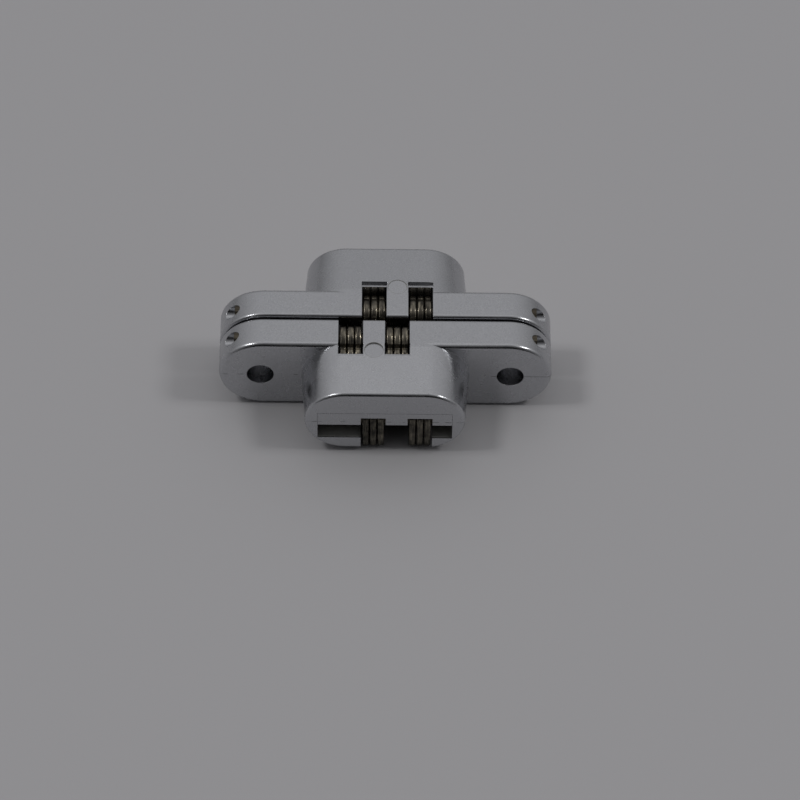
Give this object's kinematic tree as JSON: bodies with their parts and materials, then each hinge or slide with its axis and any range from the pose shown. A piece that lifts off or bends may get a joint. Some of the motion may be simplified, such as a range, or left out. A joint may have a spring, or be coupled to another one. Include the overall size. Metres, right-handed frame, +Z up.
{
  "type": "concealed link hinge",
  "caption": "Concealed mortise hinge with two round-ended cast leaves joined by crossed, laminated steel links that slide in curved tracks and swing half a turn.",
  "frame": {"origin": "middle of the closed hinge's footprint, on the surface it lies on", "axes": "+X along the leaves, +Y from the front leaf to the rear leaf, +Z up towards the side the hinge opens over"},
  "size_m": [0.043, 0.0254, 0.0115],
  "materials": {
    "casting": "satin plated zinc casting",
    "link_steel": "blanked steel, oiled",
    "pin_steel": "drawn steel wire"
  },
  "bodies": {
    "front_leaf": {"front_leaf": "casting", "front_keeper": "casting", "front_pivot_pin": "pin_steel"},
    "front_link_set": {"front_link_1": "link_steel", "front_link_2": "link_steel", "front_link_3": "link_steel", "front_link_4": "link_steel", "front_link_5": "link_steel", "front_link_6": "link_steel", "rear_slider_pin": "pin_steel"},
    "rear_link_set": {"rear_link_1": "link_steel", "rear_link_2": "link_steel", "rear_link_3": "link_steel", "rear_link_4": "link_steel", "rear_link_5": "link_steel", "rear_link_6": "link_steel", "front_slider_pin": "pin_steel", "centre_pin": "pin_steel"},
    "rear_leaf": {"rear_leaf": "casting", "rear_keeper": "casting", "rear_pivot_pin": "pin_steel"}
  },
  "joints": [
    {"name": "front_eye_pivot", "type": "hinge", "parent": "front_leaf", "child": "front_link_set", "pos_m": [0, -0.0023, 0.0096], "axis": [1, 0, 0], "range_deg": [0, 112.5]},
    {"name": "link_crossing", "type": "hinge", "parent": "front_link_set", "child": "rear_link_set", "pos_m": [0, 0, 0.0035], "axis": [1, 0, 0], "range_deg": [-45, 0]},
    {"name": "rear_eye_pivot", "type": "hinge", "parent": "rear_link_set", "child": "rear_leaf", "pos_m": [0, 0.0023, 0.0096], "axis": [1, 0, 0], "range_deg": [0, 112.5]}
  ],
  "couplings": [
    {"joint": "link_crossing", "follows": "front_eye_pivot", "ratio": -0.4},
    {"joint": "rear_eye_pivot", "follows": "front_eye_pivot", "ratio": 1}
  ]
}
